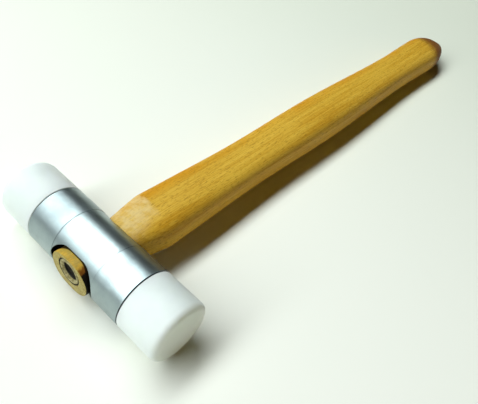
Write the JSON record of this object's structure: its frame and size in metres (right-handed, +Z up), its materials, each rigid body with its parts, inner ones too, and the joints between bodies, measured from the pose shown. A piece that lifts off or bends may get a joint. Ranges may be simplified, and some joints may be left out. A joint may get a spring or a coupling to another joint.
{
  "type": "nylon mallet",
  "caption": "Small hand mallet with a round aluminium barrel, screw-in nylon striking faces and a waisted beech handle wedged into the eye.",
  "frame": {"origin": "bottom centre of the mallet's box as it lies on its side, on the surface it rests on", "axes": "+X from the head along the handle to the butt, +Y along the head's axis to the right face, +Z up"},
  "size_m": [0.3246, 0.0982, 0.028],
  "materials": {
    "barrel_aluminium": "satin turned",
    "nylon": "smooth, slightly translucent white",
    "beech": "oiled, satin",
    "wedge_wood": "raw",
    "wedge_steel": "dull, as driven"
  },
  "bodies": {
    "head_and_handle": {"barrel": "barrel_aluminium", "handle": "beech", "kerf_wedge": "wedge_wood", "ring_wedge": "wedge_steel"},
    "left_face": {"left_face": "nylon"},
    "right_face": {"right_face": "nylon"}
  },
  "joints": [
    {"name": "left_face_unscrew", "type": "hinge", "parent": "head_and_handle", "child": "left_face", "pos_m": [-0.14778, 0, 0.014], "axis": [0, -1, 0], "range_deg": [0, 2160]},
    {"name": "right_face_unscrew", "type": "hinge", "parent": "head_and_handle", "child": "right_face", "pos_m": [-0.14778, 0, 0.014], "axis": [0, 1, 0], "range_deg": [0, 2160]}
  ]
}
